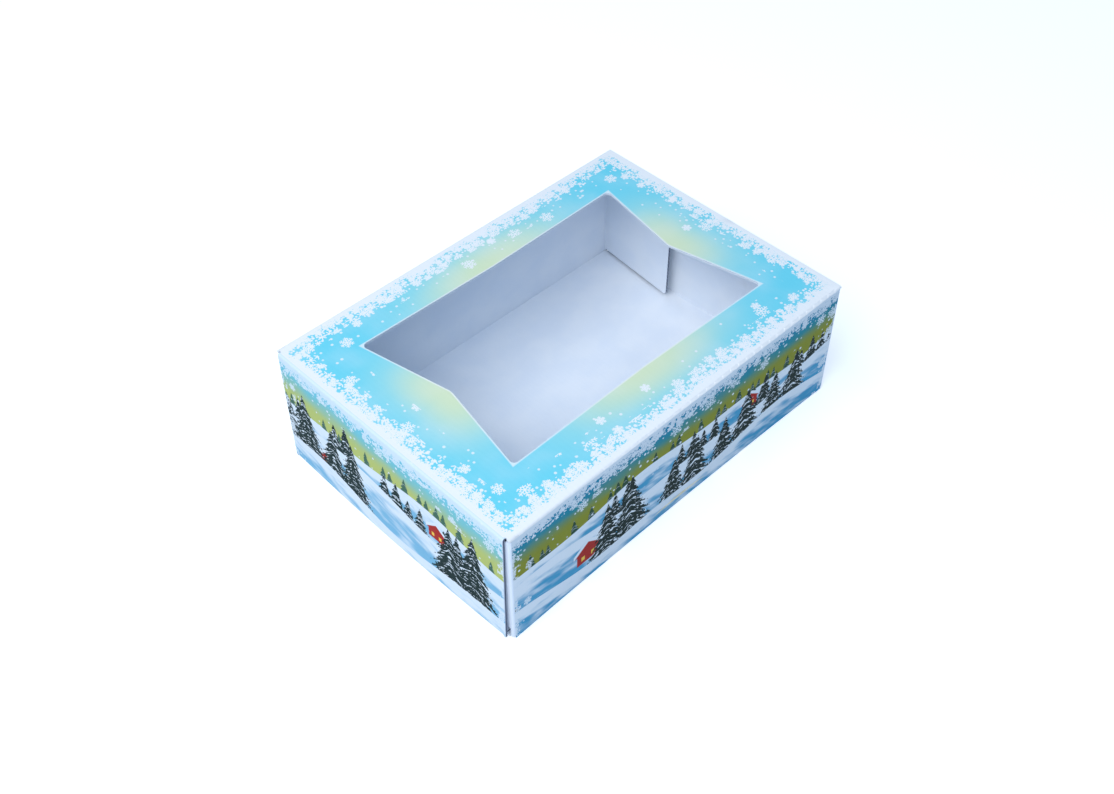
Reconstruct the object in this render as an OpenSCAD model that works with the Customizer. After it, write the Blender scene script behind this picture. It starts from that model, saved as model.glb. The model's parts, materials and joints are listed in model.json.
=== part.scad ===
// Window box for sweets, folded from printed fluted board.
// Four panels make a sleeve, glued along one seam, with a shaped window in the top.
// Each end is shut by a closure with a tuck flap, in front of two dust flaps.
// The left closure hangs on the top and tucks in over the bottom. The right one
// stands on the bottom and tucks in under the top, so the two ends are the same
// shape, turned half a turn about the Y axis.
//
// Origin: centre of the base. X runs along the length, Y across, Z up.
// A crease is modelled as a round bead on the panel that moves, on the line where
// the inner faces of the two panels meet. The bead turns in a round seat.

/* [Box] */
// Length between the outer faces of the end closures
box_l = 280; // [230:1:340]
// Width between the outer faces of the long walls
box_w = 197; // [160:1:245]
// Height from the base to the top
box_h = 88; // [72:1:115]
// Thickness of the fluted board
board = 1.5; // [1.2:0.05:2]

/* [Window] */
// Border between the window's corners and the closures, before the window is shifted
window_border_x = 36.5; // [30:0.5:50]
// Border between the window's corners and the long walls, before the window is shifted
window_border_y = 34; // [25:0.5:50]
// How far the window is shifted towards the right closure
window_shift_x = 2; // [-4:0.5:4]
// How far the window is shifted towards the back wall
window_shift_y = 2; // [-4:0.5:4]
// How far the middle of each short side is drawn in
window_in_x = 13; // [1:0.5:20]
// How far the middle of each long side is drawn in
window_in_y = 2; // [1:0.5:10]
// Radius of the window's corners
window_corner_r = 4; // [1:0.5:8]
// Radius of the bend in the middle of each short side
window_bend_x_r = 14; // [4:1:30]
// Radius of the bend in the middle of each long side
window_bend_y_r = 150; // [20:5:200]

/* [End closures] */
// Gap between a closure's edge and the fold of the dust flap beside it
closure_gap = 0.3; // [0.2:0.1:2]
// How far the left closure leans out at its foot, in degrees
left_lean = 0.9; // [0:0.1:2]
// How far the right closure leans out at its head, in degrees
right_lean = 0; // [0:0.1:2]
// Length of a tuck flap from its crease to its free edge
tuck_l = 22; // [15:0.5:27]
// Angle between a tuck flap and the panel that it lies against, in degrees
tuck_rise = 11; // [10:0.5:13]
// Radius of a tuck flap's free corners
tuck_corner_r = 14; // [4:0.5:14]
// How far a tuck flap's ends stand in from the inner faces of the long walls
tuck_inset = 3.5; // [3:0.1:8]
// How far the top's free edge stands in from the outer face of the right closure
top_edge_in = 0; // [0:0.1:2]
// How far the bottom's free edge stands in from the outer face of the left closure
bottom_edge_in = 1.8; // [0:0.1:3]
// Radius of the round relief cut at each end of a closure's crease
relief_r = 1.1; // [0.6:0.1:1.5]

/* [Dust flaps] */
// Length of a dust flap from its crease to its free edge
dust_l = 65; // [40:0.5:76]
// How much a dust flap narrows towards its free edge, on the tuck's side
dust_taper = 3; // [0:0.5:8]
// Radius of a dust flap's free corners
dust_corner_r = 3; // [1:0.5:10]
// Width of the full-height strip beside a dust flap's crease
dust_root = 1; // [0.6:0.1:1]
// How far the left front dust flap has sprung inwards, in degrees
left_front_swing = 2.5; // [0:0.1:10]
// How far the left back dust flap has sprung inwards, in degrees
left_back_swing = 3; // [0:0.1:10]
// How far the right front dust flap has sprung inwards, in degrees
right_front_swing = 2; // [0:0.1:10]
// How far the right back dust flap has sprung inwards, in degrees
right_back_swing = 5.5; // [0:0.1:10]

/* [Glue seam] */
// Height of the glue flap above its crease
glue_flap_h = 25; // [15:1:35]
// How far each end of the glue flap stands in from the end of the front wall
glue_flap_in = 9; // [9:0.5:20]
// Thickness of the glue
glue_t = 0.15; // [0.1:0.05:0.3]
// Height of the strip of glue
glue_h = 16; // [8:1:18]
// How far the strip of glue stays inside the edges of the flap
glue_margin = 4; // [2:0.5:6]

/* [Clearances] */
// Radial play between a crease bead and its seat
fold_play = 0.05; // [0.03:0.01:0.1]
// Gap between two layers of board that slide past each other
layer_gap = 0.3; // [0.2:0.05:0.5]

/* [Hidden] */
$fn = 64;

seat_r = board + fold_play;
// Crease lines on the inner faces of the sleeve and of the closures
fold_y = box_w / 2 - board;
fold_z = box_h - board;
closure_x = box_l / 2 - board;
// The dust flaps fold just behind the closures
wall_end = closure_x - layer_gap;
dust_x = wall_end - board;
// The glue flap stands inside the front wall
glue_face_y = -fold_y + glue_t;
glue_fold_y = glue_face_y + board;
glue_half_l = dust_x - glue_flap_in;
// The tuck flap's crease, over the bottom or under the top
tuck_z = 2 * board + layer_gap;
// A dust flap's fold reaches one board thickness inside the wall's inner face
closure_w = 2 * (fold_y - board - closure_gap);
tuck_w = 2 * (fold_y - tuck_inset);
// Edges of a dust flap, as heights above the base on the left end
dust_low = tuck_z + tuck_l * sin(tuck_rise) + 2 * layer_gap;
dust_high = fold_z - board - layer_gap;
crease_low = board + layer_gap;
crease_high = fold_z - layer_gap;
// Outer shape of the window's corners, before it is drawn in
window_x = box_l / 2 - window_border_x;
window_y = box_w / 2 - window_border_y;
// Cuts reach this far past the board
over = 5;

white = "#eef2f8";
sky = "#6fd0f0";
shade = "#86b4c4";

function unit(v) = v / norm(v);
function half_angle(p, v, n) = acos(unit(p - v) * unit(n - v)) / 2;
function cross_z(p, v, n) = (v[0] - p[0]) * (n[1] - v[1]) - (v[1] - p[1]) * (n[0] - v[0]);
// Centre of the arc of radius r that rounds the bend at v, between p and n
function arc_centre(p, v, n, r) = v + unit(unit(p - v) + unit(n - v)) * r / sin(half_angle(p, v, n));
// Where that arc starts, on the line from v to p
function arc_end(p, v, n, r) = v + unit(p - v) * r / tan(half_angle(p, v, n));

// What lies between a bend and the arc that rounds it
module bend_waste(p, v, n, r) {
    centre = arc_centre(p, v, n, r);
    difference() {
        polygon([arc_end(p, v, n, r), v + (v - centre) * 0.2, arc_end(n, v, p, r)]);
        translate(centre) circle(r);
    }
}

// A polygon, listed anticlockwise, with a true arc at each bend whose radius isn't 0
module rounded(points, radii) {
    last = len(points) - 1;
    difference() {
        union() {
            polygon(points);
            for (i = [0 : last]) {
                p = points[i == 0 ? last : i - 1];
                n = points[i == last ? 0 : i + 1];
                if (radii[i] > 0 && cross_z(p, points[i], n) < 0) bend_waste(p, points[i], n, radii[i]);
            }
        }
        for (i = [0 : last]) {
            p = points[i == 0 ? last : i - 1];
            n = points[i == last ? 0 : i + 1];
            if (radii[i] > 0 && cross_z(p, points[i], n) > 0) bend_waste(p, points[i], n, radii[i]);
        }
    }
}

// A rectangle with four corners alike, drawn in at its sides and shifted off the middle
module window_outline() {
    waist_x = window_x - window_in_x;
    waist_y = window_y - window_in_y;
    translate([window_shift_x, window_shift_y])
        rounded([[window_x, window_y], [0, waist_y], [-window_x, window_y], [-waist_x, 0],
                 [-window_x, -window_y], [0, -waist_y], [window_x, -window_y], [waist_x, 0]],
                [window_corner_r, window_bend_y_r, window_corner_r, window_bend_x_r,
                 window_corner_r, window_bend_y_r, window_corner_r, window_bend_x_r]);
}

// Half a round bead along Y, on the side away from the panel that it carries
module crease_bead(length) {
    rotate([90, 0, 0]) linear_extrude(length, center = true) intersection() {
        circle(board);
        translate([-2 * board, -board]) square([2 * board, 2 * board]);
    }
}

// The round seat that such a bead turns in
module crease_seat(length) {
    rotate([90, 0, 0]) cylinder(r = seat_r, h = length, center = true);
}

// A quarter round fold along X, from the end of a flat panel down to a wall
module sleeve_fold(x0, x1) {
    translate([x0, 0, 0]) rotate([90, 0, 90]) linear_extrude(x1 - x0) intersection() {
        circle(board);
        square(board);
    }
}

// A moving flap in its own frame: the crease is the Y axis, the flap lies along +X
// and its inner face is at z = 0. Its outline is the module's child.
module flap(crease_length) {
    translate([0, 0, -board]) linear_extrude(board) children();
    crease_bead(crease_length);
}

// Half a turn about the Y axis through the middle of the box
module turned_over() {
    translate([0, 0, box_h]) rotate([0, 180, 0]) children();
}

// The top or bottom without its folds, as it lies on the top: its closure hangs at
// the left, and the right closure tucks in under its free edge
module deck(front_y, back_y, edge_in) {
    difference() {
        translate([-closure_x, front_y, fold_z])
            cube([closure_x + box_l / 2 - edge_in, back_y - front_y, board]);
        translate([-closure_x, 0, fold_z]) crease_seat(closure_w + 2 * layer_gap);
        for (side = [-1, 1]) {
            translate([-closure_x, side * (closure_w / 2 + layer_gap), fold_z - board])
                cylinder(r = relief_r, h = 3 * board);
            // The tongue beside the closure ends level with the wall's fold
            translate([-closure_x - over + layer_gap, side * (box_w + closure_w) / 2 - box_w / 2, fold_z - over])
                cube([over, box_w, 3 * over]);
        }
    }
}

module top_panel() {
    color(sky) {
        difference() {
            deck(-fold_y, fold_y, top_edge_in);
            translate([0, 0, fold_z - board]) linear_extrude(3 * board) window_outline();
        }
        for (side = [0, 1])
            mirror([0, side, 0]) translate([0, fold_y, fold_z])
                sleeve_fold(-wall_end, box_l / 2 - top_edge_in);
    }
}

module bottom_panel() {
    color(white) turned_over() {
        deck(glue_fold_y, fold_y, bottom_edge_in);
        translate([0, fold_y, fold_z]) sleeve_fold(-wall_end, box_l / 2 - bottom_edge_in);
        mirror([0, 1, 0]) translate([0, -glue_fold_y, fold_z])
            sleeve_fold(-glue_half_l, glue_half_l);
    }
}

// A long wall from its foot to the crease under the top, with seats for two dust flaps
module long_wall(foot_z) {
    difference() {
        translate([-dust_x, fold_y, foot_z]) cube([2 * dust_x, board, fold_z - foot_z]);
        for (side = [-1, 1])
            translate([side * dust_x, fold_y, foot_z - over]) cylinder(r = seat_r, h = box_h + over);
    }
}

module front_wall() {
    color(shade) mirror([0, 1, 0]) long_wall(0);
}

module back_wall() {
    color(shade) long_wall(board);
}

// Stands on the bottom's crease, inside the front wall, with its ends cut at 45 degrees
module glue_flap() {
    color(white) translate([0, glue_fold_y, board]) rotate([90, 0, 0]) linear_extrude(board)
        polygon([[-glue_half_l, 0], [glue_half_l, 0],
                 [glue_half_l - glue_flap_h, glue_flap_h], [-glue_half_l + glue_flap_h, glue_flap_h]]);
}

module seam_glue() {
    half_l = glue_half_l - glue_flap_h - glue_margin;
    color("ivory") translate([-half_l, -fold_y, board + glue_margin])
        cube([2 * half_l, glue_t, glue_h]);
}

// An end closure as it hangs on the left end
module closure(lean) {
    depth = closure_depth(lean);
    translate([-closure_x, 0, fold_z]) rotate([0, 90 + lean, 0]) difference() {
        flap(closure_w) translate([0, -closure_w / 2]) square([depth + board, closure_w]);
        translate([depth, 0, 0]) crease_seat(tuck_w + 2 * layer_gap);
        translate([depth, -tuck_w / 2 - layer_gap, -over])
            cube([over, tuck_w + 2 * layer_gap, 2 * over]);
    }
}

// Distance between a closure's two creases
function closure_depth(lean) = (fold_z - tuck_z) / cos(lean);

module tuck_flap(lean) {
    half_w = tuck_w / 2;
    translate([-closure_x - closure_depth(lean) * sin(lean), 0, tuck_z]) rotate([0, -tuck_rise, 0])
        flap(tuck_w) rounded([[0, -half_w], [tuck_l, -half_w], [tuck_l, half_w], [0, half_w]],
                             [0, tuck_corner_r, tuck_corner_r, 0]);
}

// A dust flap as it folds off the front wall at the left end
module dust_flap(swing) {
    middle = box_h / 2;
    low = dust_low - middle;
    high = dust_high - middle;
    crease_l = crease_high - crease_low;
    translate([-dust_x, -fold_y, middle]) rotate([0, 0, -swing]) rotate([90, 0, 90])
        flap(crease_l) rounded([[0, -crease_l / 2], [dust_root, -crease_l / 2], [dust_root, low],
                                [dust_l, low + dust_taper], [dust_l, high],
                                [dust_root, high], [dust_root, crease_l / 2], [0, crease_l / 2]],
                               [0, 0, 0, dust_corner_r, dust_corner_r, 0, 0, 0]);
}

module left_closure() {
    color(shade) closure(left_lean);
}

module left_tuck_flap() {
    color(white) tuck_flap(left_lean);
}

module left_front_dust_flap() {
    color(white) dust_flap(left_front_swing);
}

module left_back_dust_flap() {
    color(white) mirror([0, 1, 0]) dust_flap(left_back_swing);
}

module right_closure() {
    color(shade) turned_over() closure(right_lean);
}

module right_tuck_flap() {
    color(white) turned_over() tuck_flap(right_lean);
}

module right_front_dust_flap() {
    color(white) turned_over() dust_flap(right_front_swing);
}

module right_back_dust_flap() {
    color(white) turned_over() mirror([0, 1, 0]) dust_flap(right_back_swing);
}

top_panel();
front_wall();
back_wall();
bottom_panel();
glue_flap();
seam_glue();
left_closure();
left_tuck_flap();
left_front_dust_flap();
left_back_dust_flap();
right_closure();
right_tuck_flap();
right_front_dust_flap();
right_back_dust_flap();
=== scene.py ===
"""Looks for the window sweet box: printed fluted board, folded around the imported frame.

Every panel is cut as a flat sheet, bent round its creases and printed on its outer face.
Lengths are in millimetres until a mesh is stored, and the finishes read them from the sheet.
"""

import json
import logging
import math
from dataclasses import dataclass, field
from enum import Enum
from typing import Callable, Sequence, Union

import bpy
from mathutils import Matrix, Vector
from mathutils.geometry import delaunay_2d_cdt

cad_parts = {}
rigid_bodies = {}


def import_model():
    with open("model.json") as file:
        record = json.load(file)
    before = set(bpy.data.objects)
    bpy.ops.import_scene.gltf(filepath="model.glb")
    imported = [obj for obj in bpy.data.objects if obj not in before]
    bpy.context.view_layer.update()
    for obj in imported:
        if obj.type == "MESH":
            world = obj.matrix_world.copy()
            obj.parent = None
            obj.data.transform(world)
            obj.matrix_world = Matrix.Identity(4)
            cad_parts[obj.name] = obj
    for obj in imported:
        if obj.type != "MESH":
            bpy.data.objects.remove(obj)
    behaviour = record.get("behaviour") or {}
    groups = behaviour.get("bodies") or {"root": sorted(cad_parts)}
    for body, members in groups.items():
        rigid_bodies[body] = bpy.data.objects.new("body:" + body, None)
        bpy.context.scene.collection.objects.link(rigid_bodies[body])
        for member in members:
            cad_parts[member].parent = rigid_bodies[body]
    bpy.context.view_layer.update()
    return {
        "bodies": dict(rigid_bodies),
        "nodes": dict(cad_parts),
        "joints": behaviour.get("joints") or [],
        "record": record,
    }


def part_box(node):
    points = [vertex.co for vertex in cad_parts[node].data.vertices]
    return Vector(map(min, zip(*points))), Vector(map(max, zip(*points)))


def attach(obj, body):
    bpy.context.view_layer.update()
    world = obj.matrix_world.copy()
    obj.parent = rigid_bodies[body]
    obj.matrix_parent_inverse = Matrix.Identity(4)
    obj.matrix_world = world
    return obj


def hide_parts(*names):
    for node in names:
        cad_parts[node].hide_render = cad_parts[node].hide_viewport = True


log = logging.getLogger("sweet_box")

MM = 0.001
SHEET_MAP = "Sheet"

Point = tuple[float, float]
Colour = tuple[float, float, float, float]
Number = Union["Ink", float]


def printed(red: int, green: int, blue: int) -> Colour:
    """A print colour as the shader takes it.

    Args:
        red: Red from 0 to 255, as in a printer's swatch.
        green: Green from 0 to 255.
        blue: Blue from 0 to 255.

    Returns:
        The linear colour, with an alpha of 1.
    """
    def linear(level: int) -> float:
        """One channel, made linear."""
        share = level / 255
        return share / 12.92 if share <= 0.04045 else ((share + 0.055) / 1.055) ** 2.4

    return linear(red), linear(green), linear(blue), 1.0


# ---------------------------------------------------------------- arithmetic on shader nodes


@dataclass(frozen=True)
class Ink:
    """A value in a finish's node tree that takes part in plain arithmetic."""

    tree: bpy.types.NodeTree
    socket: bpy.types.NodeSocket

    def math(self, operation: str, *others: Number) -> "Ink":
        """Adds a Math node.

        Args:
            operation: The node's operation.
            others: The other inputs, as values or plain numbers.

        Returns:
            The node's result.
        """
        node = self.tree.nodes.new("ShaderNodeMath")
        node.operation = operation
        self.tree.links.new(self.socket, node.inputs[0])
        for place, other in enumerate(others, start=1):
            if isinstance(other, Ink):
                self.tree.links.new(other.socket, node.inputs[place])
            else:
                node.inputs[place].default_value = other
        return Ink(self.tree, node.outputs[0])

    def __add__(self, other: Number) -> "Ink":
        """Sum."""
        return self.math("ADD", other)

    __radd__ = __add__

    def __sub__(self, other: Number) -> "Ink":
        """Difference."""
        return self.math("SUBTRACT", other)

    def __rsub__(self, other: float) -> "Ink":
        """Difference from a plain number."""
        return self.math("MULTIPLY_ADD", -1.0, other)

    def __mul__(self, other: Number) -> "Ink":
        """Product."""
        return self.math("MULTIPLY", other)

    __rmul__ = __mul__

    def __truediv__(self, other: Number) -> "Ink":
        """Quotient."""
        return self.math("DIVIDE", other)

    def __abs__(self) -> "Ink":
        """Size without its sign."""
        return self.math("ABSOLUTE")

    def rise(self, low: Number, high: Number) -> "Ink":
        """A smooth step.

        Args:
            low: Where the step is still 0.
            high: Where it reaches 1.

        Returns:
            A value from 0 to 1.
        """
        node = self.tree.nodes.new("ShaderNodeMapRange")
        node.interpolation_type = "SMOOTHSTEP"
        self.tree.links.new(self.socket, node.inputs["Value"])
        for name, edge in (("From Min", low), ("From Max", high)):
            if isinstance(edge, Ink):
                self.tree.links.new(edge.socket, node.inputs[name])
            else:
                node.inputs[name].default_value = edge
        return Ink(self.tree, node.outputs["Result"])

    def fall(self, low: Number, high: Number) -> "Ink":
        """The smooth step turned round: 1 below low and 0 above high."""
        return 1.0 - self.rise(low, high)

    def bell(self, width: float) -> "Ink":
        """A bell curve that is 1 at 0 and falls to about a third at width."""
        scaled = self * (1 / width)
        return (scaled * scaled * -1.0).math("EXPONENT")


class Drawing:
    """A material under construction, with the textures that the print is drawn with."""

    def __init__(self, name: str) -> None:
        """Starts an empty material.

        Args:
            name: The material's name.
        """
        self.material = bpy.data.materials.new(name)
        self.material.use_nodes = True
        self.tree = self.material.node_tree
        self.tree.nodes.clear()
        uv = self.tree.nodes.new("ShaderNodeUVMap")
        uv.uv_map = SHEET_MAP
        parts = self.tree.nodes.new("ShaderNodeSeparateXYZ")
        self.tree.links.new(uv.outputs["UV"], parts.inputs[0])
        self.along = Ink(self.tree, parts.outputs["X"])
        self.across = Ink(self.tree, parts.outputs["Y"])

    def point(self, x: Number, y: Number, z: Number = 0.0) -> Ink:
        """Joins three values into a vector."""
        node = self.tree.nodes.new("ShaderNodeCombineXYZ")
        for place, part in enumerate((x, y, z)):
            if isinstance(part, Ink):
                self.tree.links.new(part.socket, node.inputs[place])
            else:
                node.inputs[place].default_value = part
        return Ink(self.tree, node.outputs[0])

    def noise(self, x: Number, y: Number, size: float, detail: float = 2.0, seed: float = 0.0) -> Ink:
        """Cloudy noise over the sheet.

        Args:
            x: Place along the sheet.
            y: Place across it.
            size: Size of the blotches.
            detail: Octaves of finer noise.
            seed: Picks another patch of noise.

        Returns:
            A value around 0.5.
        """
        node = self.tree.nodes.new("ShaderNodeTexNoise")
        node.inputs["Scale"].default_value = 1 / size
        node.inputs["Detail"].default_value = detail
        self.tree.links.new(self.point(x, y, seed * size).socket, node.inputs["Vector"])
        return Ink(self.tree, node.outputs["Fac"])

    def mix(self, share: Ink, base: Union[Ink, Colour], over: Union[Ink, Colour]) -> Ink:
        """Lays one colour over another.

        Args:
            share: How much of the upper colour shows.
            base: The lower colour.
            over: The upper colour.

        Returns:
            The mixed colour.
        """
        node = self.tree.nodes.new("ShaderNodeMix")
        node.data_type = "RGBA"
        self.tree.links.new(share.socket, node.inputs[0])
        for place, colour in ((6, base), (7, over)):
            if isinstance(colour, Ink):
                self.tree.links.new(colour.socket, node.inputs[place])
            else:
                node.inputs[place].default_value = colour
        return Ink(self.tree, node.outputs[2])

    def flakes(self, cell: float, radius: float, keep: Number, seed: float, branched: bool) -> Ink:
        """Six-armed snowflakes, one to a cell, each turned and sized by chance.

        Args:
            cell: Size of a cell.
            radius: Reach of the largest flake.
            keep: Share of the cells that have a flake.
            seed: Picks another scatter.
            branched: Whether the arms have side branches.

        Returns:
            1 on a flake and 0 off it.
        """
        here_x = self.along * (1 / cell) + seed
        here_y = self.across * (1 / cell) + seed
        scatter = self.tree.nodes.new("ShaderNodeTexVoronoi")
        scatter.voronoi_dimensions = "2D"
        scatter.inputs["Scale"].default_value = 1.0
        scatter.inputs["Randomness"].default_value = 0.75
        self.tree.links.new(self.point(here_x, here_y).socket, scatter.inputs["Vector"])
        centre = self.tree.nodes.new("ShaderNodeSeparateXYZ")
        self.tree.links.new(scatter.outputs["Position"], centre.inputs[0])
        chance = self.tree.nodes.new("ShaderNodeSeparateXYZ")
        self.tree.links.new(scatter.outputs["Color"], chance.inputs[0])
        x = (here_x - Ink(self.tree, centre.outputs["X"])) * cell
        y = (here_y - Ink(self.tree, centre.outputs["Y"])) * cell
        turn = Ink(self.tree, chance.outputs["X"]) * math.tau
        reach = (Ink(self.tree, chance.outputs["Y"]) * 0.5 + 0.5) * radius
        shown = Ink(self.tree, chance.outputs["Z"]).math("LESS_THAN", keep)
        distance = (x * x + y * y).math("SQRT")
        folded = (y.math("ARCTAN2", x) + turn).math("PINGPONG", math.pi / 6)
        out = distance * folded.math("COSINE")
        off = distance * folded.math("SINE")
        width = 0.17
        arm = off.fall(width, width + 0.34) * out.fall(reach, reach + 0.3)
        if branched:
            for place, length in ((0.36, 0.30), (0.68, 0.26)):
                slant = abs((out - reach * place) * math.sin(math.pi / 3) - off * 0.5)
                branch = slant.fall(width * 0.8, width * 0.8 + 0.3) * off.fall(reach * length, reach * length + 0.3)
                arm = arm.math("MAXIMUM", branch)
        return arm.math("MAXIMUM", distance.fall(reach * 0.12, reach * 0.12 + 0.4)) * shown

    def dots(self, cell: float, radius: float, keep: Number, seed: float) -> Ink:
        """Round specks of snow.

        Args:
            cell: Size of a cell.
            radius: Radius of the largest speck.
            keep: Share of the cells that have a speck.
            seed: Picks another scatter.

        Returns:
            1 on a speck and 0 off it.
        """
        scatter = self.tree.nodes.new("ShaderNodeTexVoronoi")
        scatter.voronoi_dimensions = "2D"
        scatter.inputs["Scale"].default_value = 1 / cell
        scatter.inputs["Randomness"].default_value = 0.8
        place = self.point(self.along + seed * cell, self.across + seed * cell)
        self.tree.links.new(place.socket, scatter.inputs["Vector"])
        chance = self.tree.nodes.new("ShaderNodeSeparateXYZ")
        self.tree.links.new(scatter.outputs["Color"], chance.inputs[0])
        distance = Ink(self.tree, scatter.outputs["Distance"]) * cell
        reach = (Ink(self.tree, chance.outputs["Y"]) * 0.6 + 0.4) * radius
        shown = Ink(self.tree, chance.outputs["Z"]).math("LESS_THAN", keep)
        return distance.fall(reach, reach + 0.45) * shown

    def frost(self, edge: Ink, band: float, seed: float) -> Ink:
        """The snowy border: a ragged white band, with flakes that thin out inwards.

        Args:
            edge: Distance from the panel's edge.
            band: Mean width of the white band.
            seed: Picks another scatter.

        Returns:
            1 on snow and 0 off it.
        """
        ragged = self.noise(self.along, self.across, 17.0, 3.0, seed) * (band * 1.5)
        crumbs = self.noise(self.along, self.across, 1.7, 2.0, seed + 3) * (band * 1.5)
        reach = ragged + crumbs - band * 0.5
        snow = edge.fall(reach - 0.5, reach + 0.5)
        near = edge.fall(band * 1.1, band * 3.1)
        wide = edge.fall(band * 1.5, band * 6.0)
        snow = snow.math("MAXIMUM", self.flakes(5.4, 2.9, near * 1.3, seed + 0.31, False))
        snow = snow.math("MAXIMUM", self.flakes(7.6, 4.3, near * 1.2, seed + 0.11, True))
        snow = snow.math("MAXIMUM", self.flakes(13.0, 5.4, wide * 0.65, seed + 0.73, True))
        snow = snow.math("MAXIMUM", self.dots(2.5, 0.8, near * 1.1, seed + 0.17))
        return snow.math("MAXIMUM", self.dots(4.6, 0.7, wide * 0.6, seed + 0.57) * 0.8)

    def grain(self, height: Ink, depth: float) -> Ink:
        """Turns a height into a bumped normal.

        Args:
            height: Height of the surface, from 0 to 1.
            depth: How far it stands out, in millimetres.

        Returns:
            The normal.
        """
        node = self.tree.nodes.new("ShaderNodeBump")
        node.inputs["Strength"].default_value = 1.0
        node.inputs["Distance"].default_value = depth * MM
        self.tree.links.new(height.socket, node.inputs["Height"])
        return Ink(self.tree, node.outputs["Normal"])

    def finish(self, colour: Ink, roughness: Ink, normal: Ink, specular: float) -> bpy.types.Material:
        """Closes the material with its shader.

        Args:
            colour: Surface colour.
            roughness: Roughness over the surface.
            normal: Bumped normal.
            specular: Strength of the surface's shine.

        Returns:
            The finished material.
        """
        shader = self.tree.nodes.new("ShaderNodeBsdfPrincipled")
        shader.inputs["Specular IOR Level"].default_value = specular
        out = self.tree.nodes.new("ShaderNodeOutputMaterial")
        self.tree.links.new(colour.socket, shader.inputs["Base Color"])
        self.tree.links.new(roughness.socket, shader.inputs["Roughness"])
        self.tree.links.new(normal.socket, shader.inputs["Normal"])
        self.tree.links.new(shader.outputs["BSDF"], out.inputs["Surface"])
        return self.material


# ---------------------------------------------------------------- finishes


@dataclass(frozen=True)
class Board:
    """What every face of the fluted board shares: its flutes, fibres and sheen."""

    thickness: float = 1.5
    flute_pitch: float = 3.3
    fibre: float = 0.45

    def surface(self, drawing: Drawing, washboard: float) -> Ink:
        """The faint ribs of the flutes under the liner, and its fibres.

        Args:
            drawing: The material that is being drawn.
            washboard: Strength of the ribs against the fibres.

        Returns:
            The bumped normal.
        """
        ribs = (drawing.along * (math.tau / self.flute_pitch)).math("SINE") * washboard
        fibres = drawing.noise(drawing.along, drawing.across, self.fibre, 3.0, 5.0)
        return drawing.grain(ribs * 0.5 + fibres * 0.5, 0.05)


@dataclass(frozen=True)
class Window:
    """The window in the top: a rectangle whose sides are drawn in at their middles."""

    half: Point = (103.5, 64.5)
    middle: Point = (2.0, 2.0)
    drawn_in: Point = (13.0, 2.0)
    corner: float = 3.0
    bend: Point = (14.0, 150.0)

    @property
    def waist(self) -> Point:
        """Half the window's size between the middles of its sides."""
        return self.half[0] - self.drawn_in[0], self.half[1] - self.drawn_in[1]

    def outline(self) -> list[Point]:
        """The window's outline, anticlockwise.

        Returns:
            Points along the box and across it.
        """
        half_x, half_y = self.half
        waist_x, waist_y = self.waist
        corners = [(half_x, half_y), (0, waist_y), (-half_x, half_y), (-waist_x, 0),
                   (-half_x, -half_y), (0, -waist_y), (half_x, -half_y), (waist_x, 0)]
        radii = [self.corner, self.bend[1], self.corner, self.bend[0]] * 2
        return [(x + self.middle[0], y + self.middle[1]) for x, y in rounded(corners, radii)]


@dataclass(frozen=True)
class TopPrint:
    """The print on the top: frosted sky with a glow round the window."""

    board: Board
    half_length: float
    half_width: float
    window: Window
    band: float = 5.6
    white: Colour = printed(244, 244, 244)
    sky: Colour = printed(111, 214, 233)
    pale: Colour = printed(166, 222, 222)
    glow: Colour = printed(219, 231, 190)

    def make(self) -> bpy.types.Material:
        """Draws the material.

        Returns:
            The finished material.
        """
        drawing = Drawing("printed_top")
        x, y = drawing.along, drawing.across
        off_x = x - self.window.middle[0]
        off_y = y - self.window.middle[1]
        slope_x, slope_y = (drawn / half for drawn, half in zip(self.window.drawn_in, reversed(self.window.half)))
        past_short = abs(off_x) - abs(off_y) * slope_x - self.window.waist[0]
        past_long = abs(off_y) - abs(off_x) * slope_y - self.window.waist[1]
        cut = past_short.math("MAXIMUM", past_long)
        glow = (off_x.bell(71.0) * past_long.bell(28.0)).math("MAXIMUM", off_y.bell(45.0) * past_short.bell(30.0))
        colour = drawing.mix(glow.rise(0.02, 0.7), self.sky, self.pale)
        colour = drawing.mix(glow.rise(0.4, 1.08), colour, self.glow)
        colour = drawing.mix(cut.fall(0.25, 1.3) * 0.75, colour, self.white)
        clouds = drawing.noise(x, y, 30.0, 2.0, 9.0).rise(0.35, 0.75) * 0.16
        colour = drawing.mix(clouds, colour, self.white)
        edge = (self.half_length - abs(x)).math("MINIMUM", self.half_width - abs(y))
        colour = drawing.mix(drawing.frost(edge, self.band, 1.0), colour, self.white)
        roughness = drawing.noise(x, y, 6.0, 2.0, 4.0) * 0.12 + 0.42
        return drawing.finish(colour, roughness, self.board.surface(drawing, 0.5), 0.18)


class Face(Enum):
    """The four printed upright faces, each with its own stretch of landscape."""

    FRONT = 1
    BACK = 2
    LEFT = 3
    RIGHT = 4


@dataclass(frozen=True)
class Palette:
    """Inks of a landscape, from the sky down to the snow."""

    high_sky: Colour
    sky: Colour
    horizon: Colour
    snow: Colour
    snow_shade: Colour
    far_wood: Colour
    fir: Colour
    cabin: Colour = printed(178, 40, 34)
    light: Colour = printed(246, 202, 84)
    bark: Colour = printed(84, 62, 50)


WALL_INKS = Palette(high_sky=printed(14, 134, 168), sky=printed(48, 140, 134), horizon=printed(140, 144, 46),
                    snow=printed(236, 242, 246), snow_shade=printed(74, 160, 198),
                    far_wood=printed(32, 70, 50), fir=printed(5, 32, 30))
END_INKS = Palette(high_sky=printed(112, 198, 216), sky=printed(134, 190, 176), horizon=printed(186, 196, 112),
                   snow=printed(226, 235, 242), snow_shade=printed(126, 184, 214),
                   far_wood=printed(66, 104, 84), fir=printed(7, 36, 36))


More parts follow.
